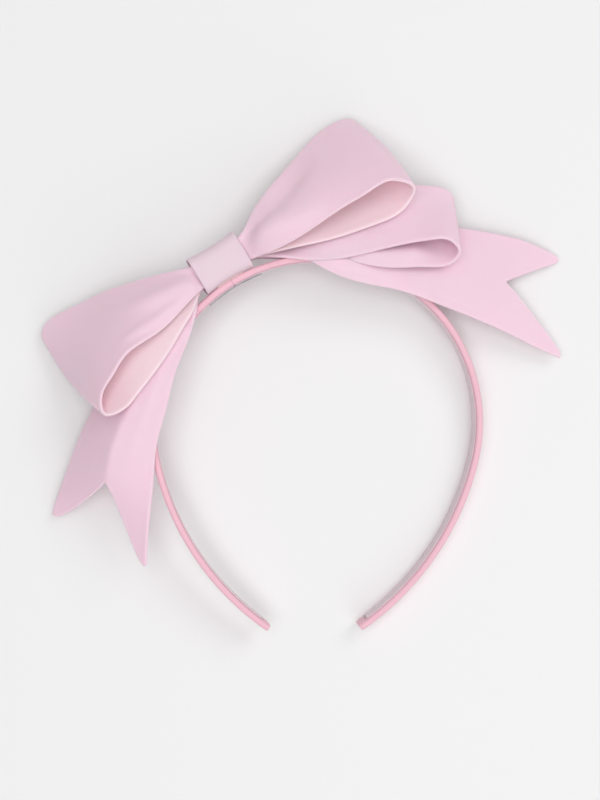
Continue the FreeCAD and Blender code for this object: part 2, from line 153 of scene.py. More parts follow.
def spline_weights(knots, places):
    """Weights that turn values at the knots into values at the places, on a natural cubic spline:
    the curve whose second derivative is a straight line between knots and zero at both ends."""
    knots = np.asarray(knots, float)
    count, gaps = len(knots), np.diff(knots)
    left, right = np.eye(count), np.zeros((count, count))
    for i in range(1, count - 1):
        left[i, i - 1:i + 2] = gaps[i - 1], 2 * (gaps[i - 1] + gaps[i]), gaps[i]
        right[i, i - 1:i + 2] = 6 / gaps[i - 1], -6 / gaps[i - 1] - 6 / gaps[i], 6 / gaps[i]
    bends = np.linalg.solve(left, right)
    places = np.clip(places, knots[0], knots[-1])
    span = np.clip(np.searchsorted(knots, places, side="right") - 1, 0, count - 2)
    gap = gaps[span]
    after = ((places - knots[span]) / gap)[..., None]
    before = 1 - after
    here, there = np.eye(count)[span], np.eye(count)[span + 1]
    return (before * here + after * there
            + (gap[..., None] ** 2 / 6) * ((before ** 3 - before) * bends[span]
                                           + (after ** 3 - after) * bends[span + 1]))


def grid_faces(index, wrap=False):
    """Four-cornered faces between neighbours in a grid of vertex numbers; wrap joins the last column to
    the first."""
    if wrap:
        index = np.concatenate([index, index[:, :1]], axis=1)
    return np.stack([index[:-1, :-1], index[1:, :-1], index[1:, 1:], index[:-1, 1:]], axis=-1).reshape(-1, 4)


def grid_normals(points):
    """Unit normals of a grid of points: the cross product of its two directions."""
    along = np.gradient(points, axis=0)
    across = np.gradient(points, axis=1)
    return unit(np.cross(along, across))


def new_piece(name, points, faces, uv=None, triangles=None):
    """A smooth mesh object at the origin from points, faces and the UV place of each point."""
    mesh = bpy.data.meshes.new(name)
    faces = faces.tolist()
    if triangles is not None:
        faces += triangles.tolist()
    mesh.from_pydata(points.reshape(-1, 3).tolist(), [], faces)
    mesh.polygons.foreach_set("use_smooth", np.ones(len(mesh.polygons), bool))
    if uv is not None:
        corner = np.zeros(len(mesh.loops), np.int32)
        mesh.loops.foreach_get("vertex_index", corner)
        layer = mesh.uv_layers.new(name="cloth")
        layer.data.foreach_set("uv", uv.reshape(-1, 2)[corner].ravel().astype(np.float32))
    mesh.update()
    mesh.validate()
    piece = bpy.data.objects.new(name, mesh)
    bpy.context.scene.collection.objects.link(piece)
    return piece


def slab(name, middle, half, uv, painted_light_side=0):
    """A closed sheet: the middle surface moved both ways along its normals by half its thickness, which is
    zero along the whole edge, where the two sides share their points. A point attribute is 1 on the side that
    a loop keeps to itself; that side is painted a lighter, warmer colour, as painted light inside the loop."""
    rows, columns = half.shape
    shift = grid_normals(middle) * half[..., None]
    top = np.arange(rows * columns).reshape(rows, columns)
    under = top.copy()
    inner = (rows - 2) * (columns - 2)
    under[1:-1, 1:-1] = rows * columns + np.arange(inner).reshape(rows - 2, columns - 2)
    points = np.concatenate([(middle + shift).reshape(-1, 3), (middle - shift)[1:-1, 1:-1].reshape(-1, 3)])
    places = np.concatenate([uv.reshape(-1, 2), uv[1:-1, 1:-1].reshape(-1, 2)])
    faces = np.concatenate([grid_faces(top), grid_faces(under)[:, ::-1]])
    piece = new_piece(name, points, faces, places)
    if painted_light_side:
        # Marks the side that gets the painted light: a lighter, warmer colour inside a loop.
        face = piece.data.attributes.new("inner_face", "FLOAT", "POINT")
        on_top = np.arange(len(points)) < rows * columns
        face.data.foreach_set("value", np.where(on_top == (painted_light_side > 0), 1.0, 0.0).astype(np.float32))
    return piece


def sock(name, rings, poles, uv):
    """A closed tube whose first and last rings shrink to the two poles."""
    rows, columns = rings.shape[:2]
    index = np.arange(rows * columns).reshape(rows, columns)
    first, last = rows * columns, rows * columns + 1
    points = np.concatenate([rings.reshape(-1, 3), np.asarray(poles)])
    places = np.concatenate([uv.reshape(-1, 2), uv[0, :1], uv[-1, :1]])
    begin, end = index[0], index[-1]
    caps = np.concatenate([np.stack([np.roll(begin, -1), begin, np.full(columns, first)], axis=-1),
                           np.stack([end, np.roll(end, -1), np.full(columns, last)], axis=-1)])
    return new_piece(name, points, grid_faces(index, wrap=True), places, caps)


# ---------------------------------------------------------------- materials

def node(tree, kind, **values):
    """A shader node with its properties and its unlinked inputs set by name."""
    item = tree.nodes.new(kind)
    for name, value in values.items():
        if hasattr(item, name):
            setattr(item, name, value)
        else:
            item.inputs[name.replace("_", " ")].default_value = value
    return item


def new_material(name):
    """An empty node material with its shader and output joined."""
    material = bpy.data.materials.new(name)
    material.use_nodes = True
    tree = material.node_tree
    tree.nodes.clear()
    shader = tree.nodes.new("ShaderNodeBsdfPrincipled")
    output = tree.nodes.new("ShaderNodeOutputMaterial")
    tree.links.new(shader.outputs["BSDF"], output.inputs["Surface"])
    return material, tree, shader


def math_node(tree, operation, first, second=None):
    """A Math node fed by sockets or plain numbers."""
    item = node(tree, "ShaderNodeMath", operation=operation)
    for socket, value in zip(item.inputs, (first, second)):
        if value is None:
            continue
        if isinstance(value, (int, float)):
            socket.default_value = value
        else:
            tree.links.new(value, socket)
    return item.outputs[0]


def mixed_colour(tree, share, first, second):
    """A Mix node between two plain colours, driven by a socket."""
    mix = node(tree, "ShaderNodeMix", data_type="RGBA")
    tree.links.new(share, mix.inputs["Factor"])
    mix.inputs["A"].default_value = (*first, 1)
    mix.inputs["B"].default_value = (*second, 1)
    return mix.outputs["Result"]


def on_object(tree, kind, **values):
    """A texture node on Object coordinates."""
    texture = node(tree, kind, **values)
    place = tree.nodes.new("ShaderNodeTexCoord")
    tree.links.new(place.outputs["Object"], texture.inputs["Vector"])
    return texture


def cloth_ways(tree):
    """The UV map's two ways, along the cloth and across it."""
    place = tree.nodes.new("ShaderNodeTexCoord")
    parts = tree.nodes.new("ShaderNodeSeparateXYZ")
    tree.links.new(place.outputs["UV"], parts.inputs[0])
    return parts.outputs["X"], parts.outputs["Y"]


def set_gloss(tree, shader, socket, spread, base):
    """Roughness: the base plus the spread times a socket."""
    rough = math_node(tree, "ADD", math_node(tree, "MULTIPLY", socket, spread), base)
    tree.links.new(rough, shader.inputs["Roughness"])


def set_relief(tree, shader, height, strength, depth_mm):
    """Relief: a Bump node fed by a height."""
    bump = node(tree, "ShaderNodeBump", Strength=strength, Distance=depth_mm * MM)
    tree.links.new(height, bump.inputs["Height"])
    tree.links.new(bump.outputs["Normal"], shader.inputs["Normal"])


def woven(name, colour, deep, inner, thread_mm, relief_mm, sheen, glow):
    """Cloth: a plain weave on the UV map, whose height is the product of two sines, one along and one
    across; a slow drift of colour and a fine unevenness on Object coordinates. Light glows through
    it. The face inside a loop is painted a lighter, warmer colour: painted light, for the light that gathers
    inside the loop."""
    material, tree, shader = new_material(name)
    turns = 2 * math.pi / (thread_mm * MM)
    warp, weft = [math_node(tree, "SINE", math_node(tree, "MULTIPLY", way, turns))
                  for way in cloth_ways(tree)]
    weave = math_node(tree, "MULTIPLY", warp, weft)
    drift = on_object(tree, "ShaderNodeTexNoise", Scale=34.0, Detail=3.0, Roughness=0.55)
    crepe = on_object(tree, "ShaderNodeTexNoise", Scale=900.0, Detail=4.0, Roughness=0.65)
    share = math_node(tree, "ADD", math_node(tree, "MULTIPLY", drift.outputs["Fac"], 0.9),
                      math_node(tree, "MULTIPLY", weave, -0.10))
    share = math_node(tree, "ADD", share, math_node(tree, "MULTIPLY", crepe.outputs["Fac"], 0.25))
    cloth = mixed_colour(tree, math_node(tree, "SUBTRACT", share, 0.12), deep, colour)
    # Painted light: the face inside a loop takes the lighter, warmer inner colour in place of the light that
    # gathers there.
    face = node(tree, "ShaderNodeAttribute", attribute_name="inner_face")
    mix = node(tree, "ShaderNodeMix", data_type="RGBA")
    tree.links.new(face.outputs["Fac"], mix.inputs["Factor"])
    tree.links.new(cloth, mix.inputs["A"])
    mix.inputs["B"].default_value = (*inner, 1)
    tree.links.new(mix.outputs["Result"], shader.inputs["Base Color"])
    set_gloss(tree, shader, crepe.outputs["Fac"], 0.16, 0.50)
    height = math_node(tree, "ADD", math_node(tree, "MULTIPLY", weave, 0.5), crepe.outputs["Fac"])
    set_relief(tree, shader, height, 0.5, relief_mm)
    shader.inputs["Sheen Weight"].default_value = sheen
    shader.inputs["Sheen Roughness"].default_value = 0.45
    shader.inputs["Sheen Tint"].default_value = (1.0, 0.93, 0.96, 1)
    shader.inputs["Specular IOR Level"].default_value = 0.28
    shader.inputs["Subsurface Weight"].default_value = glow
    shader.inputs["Subsurface Radius"].default_value = (1.0, 0.75, 0.8)
    shader.inputs["Subsurface Scale"].default_value = 3.0 * MM
    return material


def ribbed(name, colour, deep, rib_mm):
    """Corded ribbon: fine ribs across its length, whose height is a sine along the UV map."""
    material, tree, shader = new_material(name)
    turns = 2 * math.pi / (rib_mm * MM)
    ribs = math_node(tree, "SINE", math_node(tree, "MULTIPLY", cloth_ways(tree)[0], turns))
    fuzz = on_object(tree, "ShaderNodeTexNoise", Scale=1200.0, Detail=3.0)
    share = math_node(tree, "ADD", math_node(tree, "MULTIPLY", ribs, 0.22), fuzz.outputs["Fac"])
    tree.links.new(mixed_colour(tree, share, deep, colour), shader.inputs["Base Color"])
    set_gloss(tree, shader, fuzz.outputs["Fac"], 0.2, 0.55)
    set_relief(tree, shader, math_node(tree, "ADD", ribs, fuzz.outputs["Fac"]), 0.6, 0.05)
    shader.inputs["Sheen Weight"].default_value = 0.2
    return material


def moulded(name, colour, deep, roughness, clear=0.0):
    """Plastic: a faint flow mottling in its colour and gloss, with shallow moulding ripples."""
    material, tree, shader = new_material(name)
    flow = on_object(tree, "ShaderNodeTexNoise", Scale=160.0, Detail=4.0, Distortion=0.6)
    tree.links.new(mixed_colour(tree, flow.outputs["Fac"], deep, colour), shader.inputs["Base Color"])
    set_gloss(tree, shader, flow.outputs["Fac"], 0.18, roughness)
    set_relief(tree, shader, flow.outputs["Fac"], 0.35, 0.06)
    shader.inputs["Coat Weight"].default_value = clear
    return material


def bright_plate(name):
    """Dark polished sheet metal: a fine grain that changes its gloss, and faint marks in its colour."""
    material, tree, shader = new_material(name)
    lines = on_object(tree, "ShaderNodeTexNoise", Scale=700.0, Detail=5.0, Roughness=0.7)
    marks = on_object(tree, "ShaderNodeTexNoise", Scale=90.0, Detail=3.0)
    tree.links.new(mixed_colour(tree, marks.outputs["Fac"], (0.08, 0.075, 0.08), (0.20, 0.19, 0.20)),
                   shader.inputs["Base Color"])
    set_gloss(tree, shader, lines.outputs["Fac"], 0.22, 0.08)
    set_relief(tree, shader, lines.outputs["Fac"], 0.2, 0.01)
    shader.inputs["Metallic"].default_value = 1.0
    return material


def twisted_thread(name, colour, deep):
    """Sewing thread: slanted ridges from a wave on Object coordinates."""
    material, tree, shader = new_material(name)
    twist = on_object(tree, "ShaderNodeTexWave", wave_type="BANDS", bands_direction="DIAGONAL", Scale=900.0,
                      Distortion=0.8)
    tree.links.new(mixed_colour(tree, twist.outputs["Fac"], deep, colour), shader.inputs["Base Color"])
    set_relief(tree, shader, twist.outputs["Fac"], 0.6, 0.05)
    shader.inputs["Roughness"].default_value = 0.55
    return material


def dress(piece, material):
    """Give a piece one material."""
    piece.data.materials.clear()
    piece.data.materials.append(material)


def dress_node(name, material):
    """Give a kept CAD node one material, in every slot it has."""
    slots = frame["nodes"][name].material_slots
    if not slots:
        frame["nodes"][name].data.materials.append(material)
    for slot in slots:
        slot.material = material


# ---------------------------------------------------------------- the band's cover and lining

def side_angles(settings, side, tip_angle):
    """Angles along one half of the band, from the seam under the knot to the tip, closer at the tip."""
    tip_stretch, tip_rings = 2.0, 14
    plain = np.linspace(-KNOT_ANGLE, side * (tip_angle - tip_stretch), settings.rings)
    tip = side * (tip_angle - tip_stretch * (1 - np.linspace(0, 1, tip_rings)[1:]) ** 2)
    return np.concatenate([plain, tip])


def girth(half_thick, half_wide, corner, count):
    """A rounded rectangle as points round the hoop's section: out from the head, and across its width.
    Each point is the corner's centre plus the corner radius along its own direction."""
    turn = np.linspace(0, 2 * math.pi, count, endpoint=False) + math.pi / count
    way = np.stack([np.cos(turn), np.sin(turn)], axis=-1)
    power = 8.0
    size = (np.abs(way[:, 0] / half_thick) ** power + np.abs(way[:, 1] / half_wide) ** power) ** (-1 / power)
    box = way * size[:, None]
    limit = np.array([half_thick, half_wide]) - corner
    inner = np.clip(box, -limit, limit)
    return inner + corner * unit(box - inner)


def build_sleeve(settings, side, name):
    """Half of the band's cover: a closed sock of cloth over the hoop. Its rings are rounded rectangles
    round the middle line; towards the tip each ring shrinks as a quarter circle, and at the seam under
    the knot the outer skin turns in to the inner skin."""
    angles = side_angles(settings, side, TIP_ANGLE)
    end_at = hoop_length(np.array(side * TIP_ANGLE)) + side * settings.thickness / 2
    lengths = hoop_length(angles)
    left = np.abs(end_at - lengths)
    skins, places = [], []
    for inset in (0.0, settings.wall):
        half_thick = settings.thickness / 2 - inset
        half_wide = settings.width / 2 - inset
        corner = min(settings.edge_round, half_thick * 0.98)
        section = girth(half_thick, half_wide, corner, settings.girth_points)
        reach = np.clip((left - inset) / (settings.thickness * 1.1), 0, 1)
        thin = np.sqrt(1 - (1 - reach) ** 2)
        shoulder = np.clip((left - inset) / (settings.width * 0.45), 0, 1)
        narrow = 1 - 0.34 * (1 - np.sqrt(1 - (1 - shoulder) ** 2))
        pucker = 1 + 0.006 * np.sin(lengths / (7.0 * MM)) + 0.004 * np.sin(lengths / (3.1 * MM) + 1.3)
        out = section[None, :, 0] * thin[:, None] * pucker[:, None]
        rise = section[None, :, 1] * narrow[:, None]
        skins.append(beside_hoop(np.broadcast_to(angles[:, None], out.shape), out, rise))
        round_it = np.concatenate([[0], np.cumsum(np.linalg.norm(np.diff(section, axis=0), axis=1))])
        places.append(np.stack(np.broadcast_arrays(lengths[:, None], round_it[None, :]), axis=-1))
    outer, inner = skins
    rings = np.concatenate([outer[::-1], inner])
    uv = np.concatenate([places[0][::-1], places[1]])
    if side > 0:
        rings, uv = rings[:, ::-1], uv[:, ::-1]
    poles = [outer[-1].mean(axis=0), inner[-1].mean(axis=0)]
    return sock(name, rings, poles, uv)


def build_lining(settings, side, name):
    """Half of the inner ribbon: a thin closed strip that follows the hoop's inner face, just off it, and
    ends square, short of the tip."""
    angles = np.linspace(-KNOT_ANGLE, side * settings.lining_end_angle, settings.rings)
    share = np.array([0, 0.015, 0.05, 0.12, 0.3, 0.5, 0.7, 0.88, 0.95, 0.985, 1])
    rise = (share - 0.5) * settings.lining_width
    gap = settings.thickness / 2 + settings.lining_thickness / 2 + 0.02 * MM
    grid, rise = np.meshgrid(angles, rise, indexing="ij")
    middle = beside_hoop(grid, -gap, rise)
    edge = np.minimum(share, 1 - share) * settings.lining_width
    half = np.sqrt(1 - (1 - np.clip(edge / (settings.lining_thickness / 2), 0, 1)) ** 2)
    half = np.broadcast_to(half, grid.shape) * settings.lining_thickness / 2
    half = half * np.where((grid == angles[0]) | (grid == angles[-1]), 0, 1)
    uv = np.stack([hoop_length(grid), rise], axis=-1)
    return slab(name, middle, half, uv)


def over_joint(piece, side):
    """Bake the piece's place into its mesh. The ends of a short stretch either side of one hinge are worked
    out, but nothing bends the cloth there.
    """
    half_bend = 5.0
    ends = [beside_hoop(np.array(side * (FLEX_ANGLE + step)), 0.0, 0.0) for step in (-half_bend, half_bend)]
    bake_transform(piece)


# ---------------------------------------------------------------- the bow's fabric
#
# A ribbon is a row of cross lines in the bow's frame, in millimetres: each goes from the ribbon's outer
# edge, away from the head, to its inner edge. The surface is a spline along the row of lines and across.

RIGHT_LOOP = (
    ((19.0, 9.5, 3.5), (19.5, 3.0, 10.0), (19.0, -6.5, 9.5)),
    ((32.5, 15.5, 0.0), (33.0, 3.5, 12.5), (33.5, -7.5, 14.5)),
    ((49.0, 20.5, -6.0), (51.0, 6.0, 11.0), (52.5, -6.5, 19.0)),
    ((61.5, 24.0, -10.0), (64.0, 7.5, 9.0), (63.5, -6.5, 21.0)),
    ((70.5, 25.0, -12.5), (72.5, 7.5, 6.5), (72.0, -6.5, 21.0)),
    ((76.5, 24.0, -13.5), (79.5, 6.5, 3.0), (77.5, -9.5, 19.5)),
    ((79.5, 21.5, -14.5), (83.0, 3.0, -1.5), (81.5, -15.5, 15.0)),
    ((77.0, 20.5, -16.0), (80.0, 1.5, -2.5), (78.0, -18.5, 12.0)),
    ((70.5, 20.0, -16.5), (73.0, 0.0, -3.0), (71.0, -20.5, 10.5)),
    ((61.0, 18.0, -16.5), (64.5, -1.0, -3.0), (60.0, -19.0, 10.0)),
    ((48.5, 15.0, -14.5), (51.5, -2.5, -1.0), (46.5, -16.0, 9.5)),
    ((33.5, 11.0, -9.0), (34.0, -2.5, 2.5), (32.5, -11.5, 9.0)),
    ((20.0, 6.0, -2.5), (20.5, -1.0, 3.0), (20.5, -7.5, 6.0)),
)
LEFT_LOOP = (
    ((-20.5, 8.0, 1.0), (-18.5, 0.5, 7.0), (-17.0, -6.0, 8.0)),
    ((-30.5, 11.0, -3.0), (-31.0, 1.0, 8.0), (-29.5, -9.5, 12.0)),
    ((-44.5, 14.5, -11.5), (-45.0, 1.5, 6.0), (-42.0, -10.5, 16.0)),
    ((-58.0, 16.0, -17.5), (-57.5, -0.5, 1.5), (-52.5, -11.5, 16.5)),
    ((-68.5, 17.0, -21.0), (-67.0, -3.0, -4.0), (-61.5, -16.0, 15.0)),
    ((-75.0, 15.5, -23.0), (-73.5, -6.0, -10.0), (-69.0, -21.0, 12.0)),
    ((-77.5, 12.0, -24.5), (-77.0, -9.5, -12.5), (-71.0, -27.5, 10.0)),
    ((-76.0, 8.5, -25.0), (-72.5, -11.0, -9.0), (-65.0, -29.5, 10.5)),
    ((-70.0, 7.0, -23.5), (-64.5, -11.0, -3.5), (-58.0, -28.0, 11.0)),
    ((-60.5, 7.0, -20.0), (-55.0, -8.0, 0.5), (-48.5, -24.5, 11.0)),
    ((-47.5, 5.5, -15.5), (-43.0, -6.0, 3.0), (-35.5, -19.0, 11.0)),
    ((-34.0, 4.0, -8.5), (-30.5, -4.0, 3.5), (-25.0, -13.5, 9.5)),
    ((-22.0, 3.0, -3.0), (-20.0, -2.5, 3.0), (-17.5, -9.5, 7.0)),
)
SECOND_LOOP = (
    ((20.5, -1.0, -3.5), (21.0, -5.0, 0.0), (20.5, -9.5, 4.0)),
    ((46.5, -5.0, -3.0), (40.0, -12.0, 5.0), (35.5, -20.5, 8.5)),
    ((69.0, -9.5, -2.5), (60.0, -19.0, 7.0), (54.5, -28.0, 10.5)),
    ((84.0, -13.5, -2.0), (75.0, -22.5, 7.0), (69.5, -33.0, 13.0)),
    ((92.0, -18.5, -2.0), (83.0, -27.0, 5.5), (78.0, -36.5, 14.0)),
    ((96.5, -23.5, -2.0), (90.0, -31.5, 4.5), (84.0, -41.0, 13.0)),
    ((96.5, -27.5, -2.5), (91.5, -36.0, 3.5), (85.0, -47.0, 10.5)),
    ((93.5, -28.5, -3.0), (88.5, -39.0, 2.0), (81.0, -49.0, 8.5)),
    ((87.5, -25.5, -3.5), (81.0, -37.0, 1.5), (75.0, -47.5, 8.0)),
    ((78.5, -21.0, -4.0), (71.0, -32.0, 2.5), (65.5, -42.5, 9.0)),
    ((64.0, -16.5, -4.5), (56.0, -25.0, 2.5), (52.0, -34.0, 8.5)),
    ((43.0, -11.0, -5.0), (39.0, -15.0, 0.0), (36.5, -19.0, 4.5)),
    ((21.0, -5.0, -4.5), (21.0, -7.0, -2.5), (21.0, -10.5, 0.0)),
)
RIGHT_TAIL = (
    ((16.5, -1.0, -8.5), (16.5, -4.0, -7.0), (16.5, -6.5, -5.5)),
    ((30.0, -5.5, -10.0), (28.5, -9.0, -5.0), (27.5, -11.5, 0.5)),
    ((44.0, -11.5, -10.5), (37.0, -16.0, 4.5), (32.0, -19.0, 7.0)),
    ((58.5, -18.0, -8.5), (48.0, -26.0, 7.0), (40.5, -32.0, 7.5)),
    ((76.5, -27.5, -7.0), (64.5, -39.0, 5.5), (55.0, -46.0, 7.5)),
    ((92.5, -38.5, -5.0), (79.5, -51.5, 3.0), (68.0, -61.5, 7.0)),
    ((107.5, -51.5, -3.0), (97.5, -68.0, 0.5), (86.5, -86.5, 4.5)),
    ((115.5, -60.0, -2.5), (105.0, -78.5, -0.5), (94.0, -98.0, 3.0)),
    ((125.0, -76.0, -1.5), (114.0, -92.0, -2.0), (103.5, -111.0, 0.5)),
)
LEFT_TAIL = (
    ((-13.5, 2.5, -8.5), (-13.5, -2.5, -5.0), (-13.5, -6.5, -2.0)),
    ((-21.5, 0.5, -11.5), (-20.0, -6.0, -2.5), (-17.0, -10.0, 6.5)),
    ((-30.0, -3.0, -13.0), (-26.5, -10.5, 3.5), (-23.0, -16.0, 7.0)),
    ((-49.0, -10.5, -14.5), (-43.5, -18.5, 7.5), (-37.5, -27.0, 7.0)),
    ((-68.5, -20.5, -16.0), (-60.5, -29.5, 7.5), (-49.5, -38.5, 7.0)),
    ((-84.0, -29.5, -17.5), (-74.0, -38.5, 7.0), (-60.5, -49.0, 7.0)),
    ((-101.0, -42.5, -19.5), (-86.0, -51.0, 3.0), (-70.5, -62.5, 7.0)),
    ((-108.0, -48.0, -20.5), (-93.5, -59.5, -4.0), (-81.0, -76.0, 7.0)),
    ((-115.5, -54.5, -21.0), (-103.5, -72.5, -9.0), (-93.5, -94.5, 1.5)),
)

# A soft fold is a trough (above 0) or ridge (below 0) in the face that the ribbon shows as it leaves the
# knot: its depth and width in millimetres, where across the ribbon it begins and ends, and where along it.
RIGHT_FOLDS = ((2.2, 4.5, 0.34, 0.16, 0.05, 0.36), (-0.9, 5.0, 0.60, 0.70, 0.05, 0.30))
LEFT_FOLDS = ((1.6, 4.0, 0.62, 0.40, 0.05, 0.30), (1.2, 3.0, 0.86, 0.80, 0.05, 0.36))
SECOND_FOLDS = ((1.0, 5.0, 0.35, 0.30, 0.05, 0.36), (3.6, 6.0, 0.76, 0.76, 0.55, 0.80))
RIGHT_TAIL_FOLDS = ((0.9, 6.0, 0.30, 0.42, 0.10, 0.70),)
LEFT_TAIL_FOLDS = ((1.0, 5.0, 0.80, 0.74, 0.15, 0.75),)


def waist_rows(settings, side, layer, points):
    """Cross lines inside the knot: flat, drawn in to the waist, each layer at its own height."""
    half = settings.waist_width / MM / 2
    height = (2 - layer) * settings.layer_pitch / MM
    across = np.linspace(half, -half, points)
    inside_knot = (0.6, 5.5, 10.2)
    return [[(side * along, away, height) for away in across] for along in inside_knot]


def edge_spacing(width, count):
    """Places across a ribbon, in millimetres: a few close to each edge, the rest evenly spread."""
    near = np.array([0, 0.08, 0.25, 0.5, 0.8, 1.2, 1.8, 2.6])
    spread = near[-1] + (width[:, None] - 2 * near[-1]) * np.linspace(0, 1, count)[1:-1]
    near = np.broadcast_to(near, (len(width), len(near)))
    return np.concatenate([near, spread, width[:, None] - near[:, ::-1]], axis=1)


def soft_folds(folds, length, width, along, across):
    """Height of the folds: each is its depth times a bell curve across the ribbon, times a smooth rise and
    fall along it."""
    height = np.zeros_like(along)
    for depth, wide, across_from, across_to, start, stop in folds:
        share = along / length
        line = across_from + (across_to - across_from) * share / stop
        bell = np.exp(-(((across - line) * width) / wide) ** 2)
        ramp = np.clip((share - start) / 0.06, 0, 1) * np.clip((stop - share) / 0.12, 0, 1)
        height += depth * bell * ramp * ramp * (3 - 2 * ramp)
    return height


def ribbon_points(settings, rows, folds, notch=None, crease=0.0):
    """A ribbon's middle surface, its half thickness and its UV places, in millimetres. The surface is the
    sum over cross lines and their points of spline weight along times spline weight across times point.
    A swallow tail moves the end in by notch_depth at the middle, in straight lines from both corners. A
    crease is the share by which the rule across is two straight halves with a tight bend between them."""
    rows = np.asarray(rows, float)
    steps = np.linalg.norm(np.diff(rows, axis=0), axis=-1).mean(axis=1)
    knots = np.concatenate([[0], np.cumsum(steps)])
    length = knots[-1]
    share_knots = np.linspace(0, 1, rows.shape[1])
    plain = np.linspace(0, 1, settings.rows)
    ends = np.array([0.0, 0.1, 0.3, 0.6, 1.0, 1.6, 2.4]) / length
    plain = np.unique(np.concatenate([ends, plain, 1 - ends]))
    nominal = spline_weights(knots, plain * length) @ rows.reshape(len(rows), -1)
    nominal = nominal.reshape(len(plain), rows.shape[1], 3)
    width = np.linalg.norm(np.diff(nominal, axis=1), axis=-1).sum(axis=1)
    across_mm = edge_spacing(width, settings.columns)
    across = across_mm / width[:, None]
    if notch:
        centre, depth, blunt = notch
        corner = np.minimum(across / centre, (1 - across) / (1 - centre))
        end = length - depth * corner - blunt * np.exp(-corner / 0.09)
    else:
        end = np.full_like(across, length)
    along = plain[:, None] * end
    weights = spline_weights(knots, along), spline_weights(share_knots, across)
    if crease:
        from_middle = 2 * across - 1
        bend = np.sqrt(from_middle ** 2 + 0.05 ** 2)
        sharp = np.stack([(bend - from_middle) / 2, 1 - bend, (bend + from_middle) / 2], axis=-1)
        weights = weights[0], weights[1] * (1 - crease) + sharp * crease
    middle = np.einsum("abk,kjc,abj->abc", weights[0], rows, weights[1])
    middle += grid_normals(middle) * soft_folds(folds, length, width[:, None], along, across)[..., None]
    inside = np.minimum(np.minimum(across, 1 - across) * width[:, None], np.minimum(along, end - along))
    roll = settings.edge_roll / MM
    half = settings.thickness / MM / 2 * np.sqrt(1 - (1 - np.clip(inside / roll, 0, 1)) ** 2)
    half *= 1 + 0.10 * np.exp(-((inside - 1.3) / 0.9) ** 2) - 0.05 * np.exp(-((inside - 3.4) / 1.1) ** 2)
    from_waist = np.minimum(along, length - along + (along if notch else 0))
    half *= 1 + settings.gather * np.exp(-(from_waist / 15) ** 2)
    half[inside < 1e-9] = 0
    uv = np.stack([along, (across - 0.5) * width[:, None]], axis=-1)
    return middle, half, uv, length, width


def build_ribbon(settings, name, rows, folds, notch=None, crease=0.0, painted_light_side=0):
    """One ribbon of the bow as a closed sheet, in its place."""
    middle, half, uv, length, width = ribbon_points(settings, rows, folds, notch, crease)
    piece = slab(name, in_bow(middle), half * MM, uv * MM, painted_light_side)
    return piece, length * MM, float(width.mean()) * MM


def loop_rows(settings, side, layers, lines):
    """A loop leaves the knot on one layer and comes back on another."""
    upper, lower = layers
    points = len(lines[0])
    return (waist_rows(settings, side, upper, points) + list(lines)
            + waist_rows(settings, side, lower, points)[::-1])


def tail_rows(settings, side, layer, lines):
    """A tail leaves the knot on its own layer."""
    return waist_rows(settings, side, layer, len(lines[0])) + list(lines)


def finish_ribbon(piece, node_name, material):
    """Dress a ribbon, tie it to the crown and hide the CAD part it stands for."""
    dress(piece, material)
    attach(piece, "crown")
    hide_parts(node_name)


# ---------------------------------------------------------------- the knot

def build_knot(settings, name):
    """The strip round the waist: a closed strip profile, flat with round edges, carried round a soft
    rectangle. Its back follows the band's round outer face and its front edge dips a little."""
    count, around = 220, 48
    turn = np.linspace(0, 2 * math.pi, count, endpoint=False)
    half_length, wall = settings.length / MM / 2, settings.wall / MM
    flat = np.linspace(-1, 1, around)
    flat = np.sign(flat) * (1 - (1 - np.abs(flat)) ** 1.6)
    outer = np.stack([flat * half_length, np.full(around, wall / 2)], axis=-1)
    arc = np.linspace(0, math.pi, 9)[1:-1]
    cap = np.stack([half_length + wall / 2 * np.sin(arc), wall / 2 * np.cos(arc)], axis=-1)
    profile = np.concatenate([outer, cap, outer[::-1] * [1, -1], cap[::-1] * [-1, 1]])
    along = profile[None, :, 0]
    lift = profile[None, :, 1] + 0.16 * np.exp(-((half_length - np.abs(along)) / 0.9) ** 2)
    share = along / half_length
    front = settings.depth_away / MM + 0.5 * share ** 2
    band_half = 1.35
    reach = CROWN_RADIUS / MM + band_half
    distance = np.linalg.norm(KNOT_CENTRE - BAND_CENTRE) / MM
    back = distance - np.sqrt(reach ** 2 - along ** 2) - settings.band_gap / MM
    tall = settings.height / MM / 2 * (1 - 0.03 * share ** 2)
    cos, sin = np.cos(turn)[:, None], np.sin(turn)[:, None]
    deep = np.where(cos > 0, front, back) - wall / 2
    power = 4.2
    size = (np.abs(cos / deep) ** power + np.abs(sin / (tall - wall / 2)) ** power) ** (-1 / power)
    away, rise = cos * size, sin * size
    out = unit(np.stack([np.sign(cos) * np.abs(cos * size / deep) ** (power - 1) / deep,
                         np.sign(sin) * np.abs(sin * size / tall) ** (power - 1) / tall], axis=-1))
    ripple = 0.10 * np.sin(3 * turn[:, None] + 1.1 * share) * share ** 2
    points = np.stack([np.broadcast_to(along, size.shape), away + out[..., 0] * (lift + ripple),
                       rise + out[..., 1] * (lift + ripple)], axis=-1)
    index = np.arange(points.shape[0] * points.shape[1]).reshape(points.shape[:2])
    faces = grid_faces(np.concatenate([index, index[:1]]), wrap=True)
    round_mm = turn[:, None] / (2 * math.pi) * settings.girth / MM
    profile_step = 0.45
    along_profile = np.cumsum(np.full(profile.shape[0], profile_step))
    uv = np.stack(np.broadcast_arrays(round_mm, along_profile[None, :]), axis=-1)
    return new_piece(name, in_bow(points), faces[:, ::-1], uv * MM)


# ---------------------------------------------------------------- settings

def a_length(name, description, default):
    """A length that can be set."""
    return FloatProperty(name=name, description=description, default=default, unit="LENGTH")


def a_colour(name, description, default):
    """A colour that can be set."""
    return FloatVectorProperty(name=name, description=description, default=default, subtype="COLOR")


